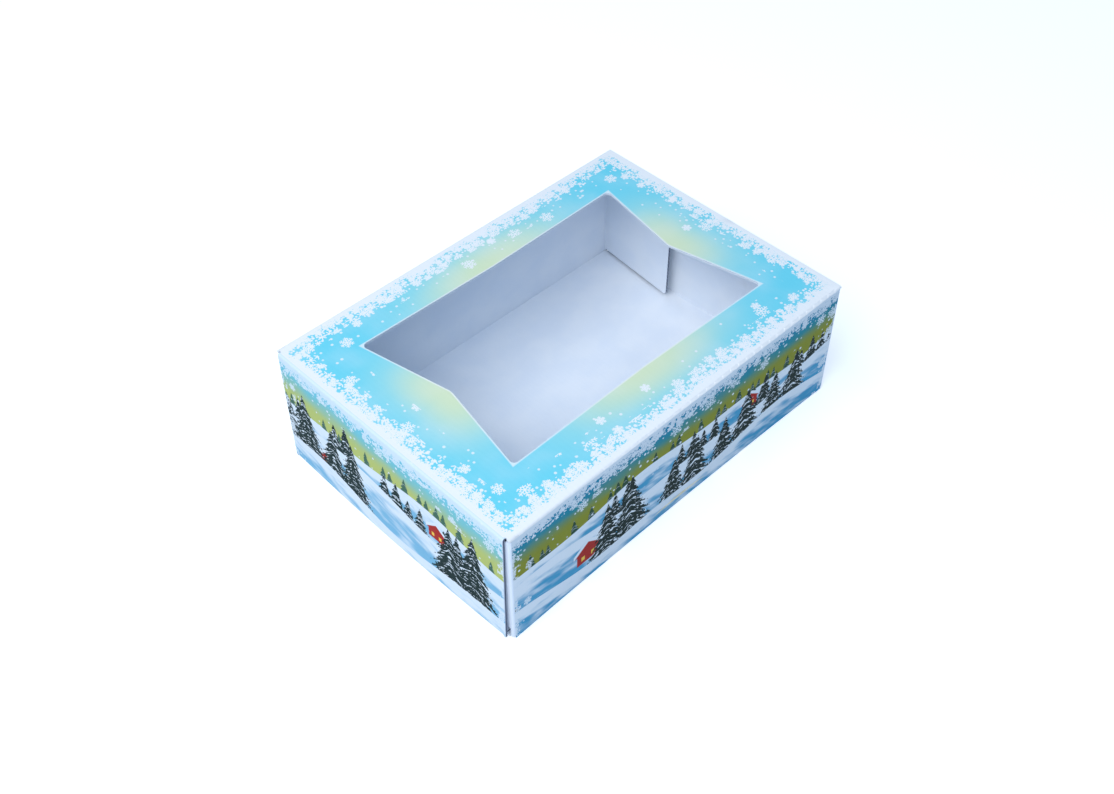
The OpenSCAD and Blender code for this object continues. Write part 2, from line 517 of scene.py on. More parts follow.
@dataclass(frozen=True)
class Landscape:
    """The print on an upright face: a winter valley under a frosted edge."""

    board: Board
    face: Face
    inks: Palette
    half_width: float
    height: float
    band: float = 4.8

    def firs(self, drawing: Drawing, ground: Ink, period: float, height: float, tiers: int,
             chance: float, seed: float) -> tuple[Ink, Ink]:
        """A row of fir trees.

        Args:
            drawing: The material that is being drawn.
            ground: Height of the ground that they stand on.
            period: Distance between two places for a tree.
            height: Height of the tallest tree.
            tiers: Tiers of branches.
            chance: Share of the places that have a tree.
            seed: Picks another row.

        Returns:
            Where the trees are, and where snow lies on them.
        """
        scaled = drawing.along * (1 / period) + seed
        place = scaled.math("FLOOR")
        lot = drawing.tree.nodes.new("ShaderNodeTexWhiteNoise")
        lot.noise_dimensions = "1D"
        drawing.tree.links.new(place.socket, lot.inputs["W"])
        luck = drawing.tree.nodes.new("ShaderNodeSeparateXYZ")
        drawing.tree.links.new(lot.outputs["Color"], luck.inputs[0])
        shift = (Ink(drawing.tree, luck.outputs["X"]) - 0.5) * 0.45
        tall = (Ink(drawing.tree, luck.outputs["Y"]) * 0.35 + 0.65) * height
        off = abs((scaled - place - 0.5 - shift) * period)
        up = (drawing.across - ground) / tall
        droop = drawing.across + off * 0.55
        rough = drawing.noise(drawing.along, drawing.across, 1.5, 2.0, seed)
        tier = ((droop - ground) / tall * float(tiers)).math("FRACT")
        half = (1.0 - up) * tall * (0.38 - tier * 0.13) * (rough * 1.1 + 0.45) + 0.25
        inside = (half - off).rise(-0.2, 0.3) * up.math("GREATER_THAN", 0.0) * up.math("LESS_THAN", 1.0)
        shown = Ink(drawing.tree, luck.outputs["Z"]).math("LESS_THAN", chance)
        twigs = drawing.noise(off * 0.8, droop * 1.9, 2.4, 2.0, seed + 2)
        snow = (twigs + tier * 0.1).rise(0.635, 0.68)
        return inside * shown, snow

    def cabin(self, drawing: Drawing, colour: Ink, middle: float, foot: float, half: float) -> Ink:
        """A small wooden cabin with snow on its roof and light in its window.

        Args:
            drawing: The material that is being drawn.
            colour: The picture so far.
            middle: Place of its middle along the face.
            foot: Height of its foot.
            half: Half its width.

        Returns:
            The picture with the cabin.
        """
        off = abs(drawing.along - middle)
        up = drawing.across - foot
        walls = off.fall(half - 0.2, half + 0.2) * up.rise(-0.2, 0.2) * up.fall(half, half + 0.3)
        pitch = up - half + off * 0.7
        gable = pitch.fall(half * 0.95, half * 0.95 + 0.4) * (up - half).rise(-0.3, 0.1)
        roof = abs(pitch - half * 1.05).fall(half * 0.16, half * 0.16 + 0.4) * off.fall(half * 1.3, half * 1.3 + 0.4)
        boards = (up * 2.6).math("SINE").rise(0.2, 0.9) * 0.3
        plank = drawing.mix(boards, self.inks.cabin, self.inks.bark)
        colour = drawing.mix(walls.math("MAXIMUM", gable), colour, plank)
        window = (off - half * 0.45).math("ABSOLUTE").fall(half * 0.14, half * 0.14 + 0.25) \
            * abs(up - half * 0.5).fall(half * 0.18, half * 0.18 + 0.25)
        colour = drawing.mix(window, colour, self.inks.light)
        return drawing.mix(roof, colour, self.inks.snow)

    def hill(self, drawing: Drawing, level: float, swing: float, length: float, seed: float) -> Ink:
        """The height of a rolling ridge along the face."""
        first = (drawing.along * (1 / length) + seed).math("SINE") * swing
        second = (drawing.along * (2.3 / length) + seed * 1.7).math("SINE") * (swing * 0.45)
        return first + second + level

    def snowfield(self, drawing: Drawing, colour: Ink, ridge: Ink, depth: float, seed: float) -> Ink:
        """Snow below a ridge, white at its crest and blue where the light leaves it.

        Args:
            drawing: The material that is being drawn.
            colour: The picture so far.
            ridge: Height of the ridge.
            depth: How far below the crest the blue begins in full.
            seed: Picks other drifts.

        Returns:
            The picture with the snowfield.
        """
        below = ridge - drawing.across
        drifts = drawing.noise(drawing.along, drawing.across * 3.4 + drawing.along * 0.5, 19.0, 2.0, seed)
        blue = (below * (1 / depth)).rise(0.1, 1.3) * 0.5 + (drifts - 0.5) * 1.2
        snow = drawing.mix(blue.rise(0.12, 0.62), self.inks.snow, self.inks.snow_shade)
        return drawing.mix(below.rise(-0.25, 0.25), colour, snow)

    def make(self) -> bpy.types.Material:
        """Draws the material.

        Returns:
            The finished material.
        """
        drawing = Drawing(f"printed_{self.face.name.lower()}")
        seed = 2.37 * self.face.value
        x, z = drawing.along, drawing.across
        lift = self.height
        colour = drawing.mix(z.rise(lift * 0.68, lift * 0.84), self.inks.horizon, self.inks.sky)
        colour = drawing.mix(z.rise(lift * 0.74, lift * 0.92), colour, self.inks.high_sky)
        haze = drawing.noise(x, z * 1.6, 30.0, 1.0, seed).rise(0.4, 0.66) * 0.5
        colour = drawing.mix(haze * z.fall(lift * 0.7, lift * 0.95), colour, self.inks.horizon)
        far = self.hill(drawing, lift * 0.62, 3.4, 36.0, seed)
        trees, snow = self.firs(drawing, far - 2.5, 6.5, 14.0, 4, 0.62, seed)
        colour = drawing.mix(trees, colour, drawing.mix(snow * 0.35, self.inks.far_wood, self.inks.snow))
        colour = self.snowfield(drawing, colour, far, 10.0, seed)
        middle = self.hill(drawing, lift * 0.45, 4.6, 47.0, seed + 1.9)
        for share in (0.0, 0.45):
            trees, snow = self.firs(drawing, middle - 3.0, 23.0, 29.0 - 9 * share, 6, 0.5, seed + 4 + share)
            colour = drawing.mix(trees, colour, drawing.mix(snow * 0.9, self.inks.fir, self.inks.snow))
        spot = self.half_width * (0.42 if self.face.value % 2 else -0.46)
        colour = self.cabin(drawing, colour, spot, lift * 0.45, 6.6)
        colour = self.snowfield(drawing, colour, middle, 13.0, seed + 5)
        near = self.hill(drawing, lift * 0.19, 5.0, 41.0, seed + 3.1)
        colour = self.cabin(drawing, colour, -spot * 1.35, lift * 0.2, 8.8)
        for share in (0.0, 0.37):
            trees, snow = self.firs(drawing, near - 3.0, 52.0, 56.0 - 22 * share, 8, 0.66, seed + 8 + share)
            colour = drawing.mix(trees, colour, drawing.mix(snow, self.inks.fir, self.inks.snow))
        colour = self.snowfield(drawing, colour, near, 12.0, seed + 9)
        falling = drawing.dots(7.0, 0.7, 0.4, seed) * z.rise(lift * 0.4, lift * 0.7)
        colour = drawing.mix(falling, colour, self.inks.snow)
        sides = (self.half_width - abs(x)) * 1.3 + 3.0
        edge = (self.height - z).math("MINIMUM", sides)
        colour = drawing.mix(drawing.frost(edge, self.band, seed) * 0.88, colour, self.inks.snow)
        roughness = drawing.noise(x, z, 6.0, 2.0, 4.0) * 0.12 + 0.5
        return drawing.finish(colour, roughness, self.board.surface(drawing, 0.5), 0.06)


@dataclass(frozen=True)
class Liner:
    """The unprinted white liner inside the box."""

    board: Board
    clean: Colour = printed(241, 246, 253)
    dull: Colour = printed(234, 241, 251)

    def make(self) -> bpy.types.Material:
        """Draws the material.

        Returns:
            The finished material.
        """
        drawing = Drawing("white_liner")
        x, y = drawing.along, drawing.across
        cloud = drawing.noise(x, y, 26.0, 3.0, 1.0).rise(0.3, 0.7)
        colour = drawing.mix(cloud, self.clean, self.dull)
        specks = drawing.noise(x, y, 0.9, 1.0, 2.0).rise(0.66, 0.8) * 0.18
        colour = drawing.mix(specks, colour, printed(196, 198, 200))
        roughness = drawing.noise(x, y, 4.0, 2.0, 7.0) * 0.15 + 0.6
        return drawing.finish(colour, roughness, self.board.surface(drawing, 0.22), 0.2)


@dataclass(frozen=True)
class CutEdge:
    """The board's cut edge: two liners with the wave of the flutes between them, and the pockets in the wave painted
    darker as shade.
    """

    board: Board
    name: str = "cut_edge"
    paper: Colour = printed(246, 249, 252)
    pocket_shade: Colour = printed(214, 222, 232)

    def make(self) -> bpy.types.Material:
        """Draws the material.

        Returns:
            The finished material.
        """
        drawing = Drawing(self.name)
        along, depth = drawing.along, drawing.across
        half = self.board.thickness / 2
        from_middle = depth - half
        liners = abs(from_middle).rise(half * 0.66, half * 0.8)
        wave = (along * (math.tau / self.board.flute_pitch)).math("SINE") * (half * 0.66)
        medium = abs(from_middle - wave).fall(0.12, 0.26)
        paper = liners.math("MAXIMUM", medium)
        # Off the paper, the flute pockets take the darker colour: painted shade.
        colour = drawing.mix(paper, self.pocket_shade, self.paper)
        roughness = drawing.noise(along, depth, 0.8, 2.0, 7.0) * 0.1 + 0.75
        fibres = drawing.noise(along, depth, 0.3, 3.0, 5.0)
        return drawing.finish(colour, roughness, drawing.grain(paper * 0.6 + fibres * 0.4, 0.04), 0.15)


@dataclass(frozen=True)
class DriedGlue:
    """The glue in the seam, set clear and slightly yellow."""

    clear: Colour = printed(232, 226, 200)
    thick: Colour = printed(214, 204, 166)

    def make(self) -> bpy.types.Material:
        """Draws the material.

        Returns:
            The finished material.
        """
        drawing = Drawing("dried_glue")
        place = drawing.tree.nodes.new("ShaderNodeTexCoord")
        parts = drawing.tree.nodes.new("ShaderNodeSeparateXYZ")
        drawing.tree.links.new(place.outputs["Object"], parts.inputs[0])
        x = Ink(drawing.tree, parts.outputs["X"]) * (1 / MM)
        z = Ink(drawing.tree, parts.outputs["Z"]) * (1 / MM)
        blobs = drawing.noise(x, z, 5.0, 3.0, 1.0)
        colour = drawing.mix(blobs.rise(0.35, 0.65), self.clear, self.thick)
        return drawing.finish(colour, blobs * 0.2 + 0.2, drawing.grain(blobs, 0.05), 0.5)


# ---------------------------------------------------------------- cutting and folding board


@dataclass(frozen=True)
class Fold:
    """How a flat sheet bends: flat from the crease onwards, round behind it."""

    thickness: float

    def bend(self, ahead: float, depth: float) -> Point:
        """Where a point of the sheet lies in the plane across the crease.

        Args:
            ahead: Distance ahead of the crease, or minus the length of outer arc behind it.
            depth: Depth in the board, from 0 on the inner face to 1 on the outer.

        Returns:
            Distance along the flat part, and height above the inner face.
        """
        rise = depth * self.thickness
        if ahead >= 0:
            return ahead, rise
        turned = -ahead / self.thickness
        return -rise * math.sin(turned), rise * math.cos(turned)


@dataclass
class Sheet:
    """A piece of board: its flat outline, how it is placed, and its three faces' finishes."""

    name: str
    outline: list[Point]
    place: Callable[[float, float, float], Vector]
    stamp: Callable[[float, float], Point]
    board: Board
    holes: list[list[Point]] = field(default_factory=list)
    rows: Sequence[float] = ()
    pitch: float = 7.0
    warp: Callable[[Vector], Vector] = lambda point: point
    depths: int = 4

    def split(self, loop: list[Point]) -> list[Point]:
        """Adds points along a loop, at each row that it crosses and at the pitch.

        Args:
            loop: Corners of a closed loop.

        Returns:
            The loop with the added points.
        """
        points: list[Point] = []
        for start, end in zip(loop, loop[1:] + loop[:1]):
            run = math.dist(start, end)
            count = max(1, math.ceil(run / self.pitch))
            cuts = {step / count for step in range(count)}
            if abs(end[0] - start[0]) > 1e-6:
                crossed = ((row - start[0]) / (end[0] - start[0]) for row in self.rows)
                cuts |= {share for share in crossed if 1e-4 < share < 1 - 1e-4}
            last = -1.0
            for share in sorted(cuts):
                if (share - last) * run > 0.02 or last < 0:
                    points.append((start[0] + (end[0] - start[0]) * share, start[1] + (end[1] - start[1]) * share))
                    last = share
        return points

    @staticmethod
    def inside(point: Point, loops: list[list[Point]]) -> bool:
        """Whether a point is on the board: inside an odd number of loops."""
        found = False
        x, y = point
        for loop in loops:
            for (ax, ay), (bx, by) in zip(loop, loop[1:] + loop[:1]):
                if (ay > y) != (by > y) and x < ax + (y - ay) * (bx - ax) / (by - ay):
                    found = not found
        return found

    @staticmethod
    def clearance(point: Point, loops: list[list[Point]]) -> float:
        """Distance from a point to the nearest cut."""
        best = math.inf
        for loop in loops:
            for (ax, ay), (bx, by) in zip(loop, loop[1:] + loop[:1]):
                run = (bx - ax) ** 2 + (by - ay) ** 2
                share = 0.0 if run == 0 else max(0, min(1, ((point[0] - ax) * (bx - ax) + (point[1] - ay) * (by - ay)) / run))
                best = min(best, math.dist(point, (ax + (bx - ax) * share, ay + (by - ay) * share)))
        return best

    def grid(self, loops: list[list[Point]]) -> list[Point]:
        """Points inside the sheet, so that it can bend."""
        ahead = [p[0] for p in loops[0]]
        aside = [p[1] for p in loops[0]]
        columns = math.ceil((max(aside) - min(aside)) / self.pitch)
        flat = math.ceil((max(ahead) - min(ahead)) / self.pitch)
        rows = sorted(set(self.rows) | {min(ahead) + (max(ahead) - min(ahead)) * n / flat for n in range(1, flat)})
        points: list[Point] = []
        last = -math.inf
        for row in rows:
            if row not in self.rows and (row - last < 1.0 or any(abs(row - r) < 1.0 for r in self.rows)):
                continue
            last = row
            for column in range(1, columns):
                point = (row, min(aside) + (max(aside) - min(aside)) * column / columns)
                margin = 0.2 if row in self.rows else 1.2
                if self.inside(point, loops) and self.clearance(point, loops) > margin:
                    points.append(point)
        return points

    def build(self, finishes: Sequence[bpy.types.Material]) -> bpy.types.Object:
        """Cuts the sheet, folds it and stores it as a mesh.

        Args:
            finishes: Materials of the outer face, the inner face and the cut edge.

        Returns:
            The mesh object, in metres, in the frame's place.
        """
        loops = [self.split(self.outline)] + [self.split(hole) for hole in self.holes]
        flat: list[Point] = []
        edges: list[tuple[int, int]] = []
        for loop in loops:
            first = len(flat)
            flat += loop
            edges += [(first + n, first + (n + 1) % len(loop)) for n in range(len(loop))]
        flat += self.grid(loops)
        points, _, faces, *_ = delaunay_2d_cdt([Vector(p) for p in flat], edges, [], 0, 1e-5)
        kept = [tuple(face) for face in faces
                if self.inside(tuple(sum((points[i] for i in face), Vector((0, 0))) / 3), loops)]
        vertices: list[Vector] = []
        polygons: list[tuple[int, ...]] = []
        stamps: list[list[Point]] = []
        slots: list[int] = []

        def add(corners: list[tuple[int, float]], slot: int) -> None:
            """Stores one face.

            Args:
                corners: Each corner's point on the sheet and its depth.
                slot: Which finish it has.
            """
            places = [self.warp(self.place(points[i].x, points[i].y, depth)) * MM for i, depth in corners]
            area = sum(((b - places[0]).cross(c - places[0]) for b, c in zip(places[1:], places[2:])), Vector()).length
            if area < 1e-11:
                return
            polygons.append(tuple(range(len(vertices), len(vertices) + len(places))))
            vertices.extend(places)
            slots.append(slot)
            if slot == 2:
                stamps.append([(points[i].y, depth * self.board.thickness) for i, depth in corners])
            else:
                stamps.append([self.stamp(points[i].x, points[i].y) for i, _ in corners])

        sides: dict[tuple[int, int], int] = {}
        for face in kept:
            add([(i, 1.0) for i in face], 0)
            add([(i, 0.0) for i in reversed(face)], 1)
            for a, b in zip(face, face[1:] + face[:1]):
                sides[(a, b)] = 1
        rear = min(self.rows) + 1e-3 if self.rows else -math.inf
        for a, b in sides:
            if (b, a) not in sides:
                slot = 1 if max(points[a].x, points[b].x) < rear else 2
                for step in range(self.depths):
                    low, high = step / self.depths, (step + 1) / self.depths
                    add([(b, high), (a, high), (a, low), (b, low)], slot)
        return self.store(vertices, polygons, stamps, slots, finishes)

    def store(self, vertices: list[Vector], polygons: list[tuple[int, ...]], stamps: list[list[Point]],
              slots: list[int], finishes: Sequence[bpy.types.Material]) -> bpy.types.Object:
        """Turns faces into a welded mesh object.

        Args:
            vertices: Corners of all the faces, in metres.
            polygons: Each face's corners.
            stamps: Each face's places on the print.
            slots: Each face's finish.
            finishes: Materials of the outer face, the inner face and the cut edge.

        Returns:
            The mesh object.
        """
        mesh = bpy.data.meshes.new(self.name)
        mesh.from_pydata(vertices, [], polygons)
        layer = mesh.uv_layers.new(name=SHEET_MAP)
        for polygon, corners, slot in zip(mesh.polygons, stamps, slots):
            polygon.material_index = slot
            for loop, stamp in zip(polygon.loop_indices, corners):
                layer.data[loop].uv = stamp
        for finish in finishes:
            mesh.materials.append(finish)
        piece = bpy.data.objects.new(self.name, mesh)
        bpy.context.scene.collection.objects.link(piece)
        weld(mesh)
        log.info("%s: %d faces", self.name, len(mesh.polygons))
        return piece


def weld(mesh: bpy.types.Mesh) -> None:
    """Joins touching corners, turns every face outwards and smooths the gentle bends."""
    import bmesh

    shape = bmesh.new()
    shape.from_mesh(mesh)
    bmesh.ops.remove_doubles(shape, verts=shape.verts, dist=2e-6)
    bmesh.ops.recalc_face_normals(shape, faces=shape.faces)
    shape.to_mesh(mesh)
    shape.free()
    mesh.shade_smooth()
    mesh.set_sharp_from_angle(angle=math.radians(38))


def arc(centre: Point, radius: float, start: float, end: float, steps: int) -> list[Point]:
    """Points on an arc.

    Args:
        centre: The arc's centre.
        radius: Its radius.
        start: Its first angle, in degrees.
        end: Its last angle.
        steps: How many steps it takes.

    Returns:
        The points, both ends among them.
    """
    angles = (math.radians(start + (end - start) * n / steps) for n in range(steps + 1))
    return [(centre[0] + radius * math.cos(a), centre[1] + radius * math.sin(a)) for a in angles]


def rounded(corners: list[Point], radii: list[float], steps: int = 10) -> list[Point]:
    """A polygon whose corners are arcs.

    Args:
        corners: The polygon's corners.
        radii: A radius for each, or 0 for a sharp corner.
        steps: Steps of each arc.

    Returns:
        The rounded outline.
    """
    outline: list[Point] = []
    for n, (corner, radius) in enumerate(zip(corners, radii)):
        if radius == 0:
            outline.append(corner)
            continue
        here = Vector(corner)
        back = (Vector(corners[n - 1]) - here).normalized()
        ahead = (Vector(corners[(n + 1) % len(corners)]) - here).normalized()
        half = back.angle(ahead) / 2
        centre = here + (back + ahead).normalized() * (radius / math.sin(half))
        start = here + back * (radius / math.tan(half)) - centre
        end = here + ahead * (radius / math.tan(half)) - centre
        turn = start.angle_signed(end)
        for step in range(steps + 1):
            spoke = start.copy()
            spoke.rotate(Matrix.Rotation(-turn * step / steps, 2))
            outline.append(tuple(centre + spoke))
    return outline


# ---------------------------------------------------------------- sub-assemblies


@dataclass(frozen=True)
class Carton:
    """Sizes that the whole box shares, in millimetres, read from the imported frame."""

    length: float
    width: float
    height: float
    board: Board
    gap: float = 0.3

    @classmethod
    def from_frame(cls) -> "Carton":
        """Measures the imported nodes.

        Returns:
            The carton's sizes.
        """
        low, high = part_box("top_panel")
        wall_low, wall_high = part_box("back_wall")
        thickness = round((wall_high.y - wall_low.y) / MM, 3)
        return cls(length=2 * high.x / MM, width=(high.y - low.y) / MM, height=high.z / MM,
                   board=Board(thickness=thickness))

    @property
    def thick(self) -> float:
        """Thickness of the board."""
        return self.board.thickness

    @property
    def fold_y(self) -> float:
        """Half the width between the long walls' inner faces."""
        return self.width / 2 - self.thick

    @property
    def fold_z(self) -> float:
        """Height of the top's inner face."""
        return self.height - self.thick

    @property
    def end_x(self) -> float:
        """Half the length between the closures' inner faces."""
        return self.length / 2 - self.thick

    @property
    def wall_end(self) -> float:
        """Half the length of the sleeve's folds."""
        return self.end_x - self.gap

    @property
    def dust_x(self) -> float:
        """Where the dust flaps fold."""
        return self.wall_end - self.thick

    @property
    def turned_over(self) -> Matrix:
        """Half a turn about the Y axis through the middle of the box."""
        return Matrix.Translation((0, 0, self.height)) @ Matrix.Rotation(math.pi, 4, "Y")

    def seat_cut(self, depth: float) -> float:
        """How far a crease's round seat cuts into a panel at a depth in the board, with no gap to be seen."""
        return self.thick * math.sqrt(max(0.0, 0.98 - depth ** 2))


@dataclass(frozen=True)
class Softness:
    """How the real board gives: it bows a little where nothing holds it straight."""

    carton: Carton
    front_foot: float = 1.6
    left_foot: float = 1.9
    top_sag: float = 0.5

    def sleeve(self, point: Vector) -> Vector:
        """Bows the front wall's foot inwards and lets the top sag between its folds."""
        size = self.carton
        span = max(0.0, 1 - (point.x / size.dust_x) ** 2)
        front = max(0.0, -point.y / size.fold_y) ** 2
        lowness = 1 - point.z / size.fold_z if point.z < size.fold_z else 0.0
        across = max(0.0, 1 - (point.y / size.fold_y) ** 2)
        highness = max(0.0, min(1.0, (point.z - size.fold_z + 2) / 2))
        return point + Vector((0, self.front_foot * span * front * lowness, -self.top_sag * span * across * highness))

    def left_end(self, point: Vector) -> Vector:
        """Bows the left closure's foot outwards, with the crease of its tuck flap."""
        size = self.carton
        span = max(0.0, 1 - (point.y / size.fold_y) ** 2)
        lowness = max(0.0, 1 - point.z / size.fold_z)
        close = max(0.0, min(1.0, 1 - (point.x + size.length / 2) / 20))
        return point + Vector((-self.left_foot * span * lowness ** 1.4 * close, 0, 0))


@dataclass(frozen=True)
class Finishes:
    """All the materials, made once."""

    top: bpy.types.Material
    faces: dict[Face, bpy.types.Material]
    liner: bpy.types.Material
    edge: bpy.types.Material
    shaded_flap_edge: bpy.types.Material

    def board(self, outer: bpy.types.Material) -> list[bpy.types.Material]:
        """The three finishes of a panel of the sleeve with that outer face."""
        return [outer, self.liner, self.edge]

    def flap(self, outer: bpy.types.Material) -> list[bpy.types.Material]:
        """The three finishes of a flap with that outer face, its cut edge painted dark as shade."""
        return [outer, self.liner, self.shaded_flap_edge]


@dataclass
class Sleeve:
    """The four panels that are glued into a sleeve, with the window in the top."""

    carton: Carton
    finishes: Finishes
    softness: Softness
    closure_width: float
    window: Window
    relief: float = 1.1
    bottom_edge_in: float = 1.8
    glue_play: float = 0.15
    flap_height: float = 25.0
    flap_in: float = 9.0

    def deck(self, name: str, front: float, front_half: float, edge_in: float, place_in: Matrix,
             holes: list[list[Point]], outer: bpy.types.Material) -> bpy.types.Object:
        """A flat panel with a quarter-round fold on both long sides, as it lies on the top.

        Args:
            name: The piece's name.
            front: Where the front fold is, as a distance from the middle.
            front_half: Half the length of the front fold.
            edge_in: How far the free edge stands in from the right end.
            place_in: Where the panel goes.
            holes: Holes in the panel.
            outer: The outer face's finish.

        Returns:
            The mesh object.
        """
        size = self.carton
        fold = Fold(size.thick)
        quarter = size.thick * math.pi / 2
        hinge, stub, free = -size.end_x, -size.wall_end, size.length / 2 - edge_in
        half = self.closure_width / 2 + size.gap
        relief_end = math.sqrt(self.relief ** 2 - (hinge - stub) ** 2)
        back_relief = arc((half, hinge), self.relief, 180, 0, 8)[:-1]
        back_relief = [(y, x) for y, x in back_relief if True]
        steps = range(1, 6)
        rows = sorted([size.fold_y + quarter * n / 5 for n in steps] + [-front - quarter * n / 5 for n in steps]
                      + [size.fold_y, -front])

        def place(across: float, along: float, depth: float) -> Vector:
            """Puts a point of the flat sheet on the folded panel.

            Args:
                across: Distance from the middle, folds included.
                along: Place along the box.
                depth: Depth in the board.

            Returns:
                The point in the frame.
            """
            edge = size.fold_y if across >= 0 else front
            beyond, rise = fold.bend(edge - abs(across), depth)
            y = math.copysign(edge - beyond, across)
            x = along
            if abs(along - hinge) < 1e-4 and abs(across) < half - self.relief + 1e-3:
                x = hinge + size.seat_cut(depth)
            return place_in @ Vector((x, y, size.fold_z + rise))

        outline = [(-front - quarter, -front_half), (-front - quarter, min(free, front_half))]
        if front_half < size.wall_end - 1:
            outline += [(-front, front_half), (-front, free)]
        outline += [(size.fold_y + quarter, free), (size.fold_y + quarter, stub), (half + relief_end, stub)]
        outline += [(half + self.relief * math.cos(a), hinge + self.relief * math.sin(a))
                    for a in (math.radians(15.8 + (180 - 15.8) * n / 8) for n in range(1, 9))]
        outline += [(-half + self.relief * math.cos(a), hinge + self.relief * math.sin(a))
                    for a in (math.radians((180 - 15.8) * n / 8) for n in range(0, 8))]
        if front_half < size.wall_end - 1:
            outline += [(-front, hinge + 0.9), (-front, -front_half)]
        else:
            outline += [(-half - relief_end, stub), (-front - quarter, stub)]
            outline = outline[1:]
        sheet = Sheet(name, outline, place, lambda across, along: (along, across), size.board,
                      holes=holes, rows=rows, warp=self.softness.sleeve)
        return sheet.build(self.finishes.board(outer))

    def top(self) -> bpy.types.Object:
        """The top panel, with its window."""
        size = self.carton
        hole = [(y, x) for x, y in self.window.outline()]
        return self.deck("top_board", size.fold_y, size.wall_end, 0.0, Matrix.Identity(4), [hole], self.finishes.top)

    def wall(self, name: str, foot: float, side: int, outer: bpy.types.Material) -> bpy.types.Object:
        """A long wall, from its foot to the fold under the top.

        Args:
            name: The piece's name.
            foot: Height of its foot.
            side: 1 for the back and -1 for the front.
            outer: The outer face's finish.

        Returns:
            The mesh object.
        """
        size = self.carton
        end, head = size.dust_x, size.fold_z

        def place(up: float, along: float, depth: float) -> Vector:
            """Puts a point of the flat wall in place, with its seats for the dust flaps."""
            if abs(abs(along) - end) < 1e-4:
                along = math.copysign(end - size.seat_cut(depth), along)
            return Vector((along, side * (size.fold_y + depth * size.thick), up))

        outline = [(foot, -end), (foot, end), (head, end), (head, -end)]
        sheet = Sheet(name, outline, place, lambda up, along: (along * -side, up), size.board,
                      warp=self.softness.sleeve)
        return sheet.build(self.finishes.board(outer))

    def glue_flap(self) -> bpy.types.Object:
        """The flap on the bottom's front crease, with its ends cut at 45 degrees."""
        size = self.carton
        half = size.dust_x - self.flap_in
        outer_y = size.fold_y - self.glue_play

        def place(up: float, along: float, depth: float) -> Vector:
            """Puts a point of the flat flap inside the front wall."""
            return Vector((along, -outer_y + (1 - depth) * size.thick, size.thick + up))

        top = self.flap_height
        outline = [(0, -half), (0, half), (top, half - top), (top, -half + top)]
        sheet = Sheet("glue_tab", outline, place, lambda up, along: (along, up), size.board,
                      warp=self.softness.sleeve)
        return sheet.build(self.finishes.board(self.finishes.liner))

    def build(self) -> None:
        """Builds the sleeve's pieces and sets them on its body."""
        size = self.carton
        front = size.fold_y - self.glue_play - size.thick
        half = size.dust_x - self.flap_in
        pieces = (
            (self.top(), "top_panel", "printed_top"),
            (self.wall("front_board", 0.0, -1, self.finishes.faces[Face.FRONT]), "front_wall", "printed_walls"),
            (self.wall("back_board", size.thick, 1, self.finishes.faces[Face.BACK]), "back_wall", "printed_walls"),
            (self.deck("bottom_board", front, half, self.bottom_edge_in, size.turned_over, [], self.finishes.liner),
             "bottom_panel", "plain_board"),
            (self.glue_flap(), "glue_flap", "plain_board"),
        )
        for piece, node, slot in pieces:
            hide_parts(node)
            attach(piece, "sleeve")


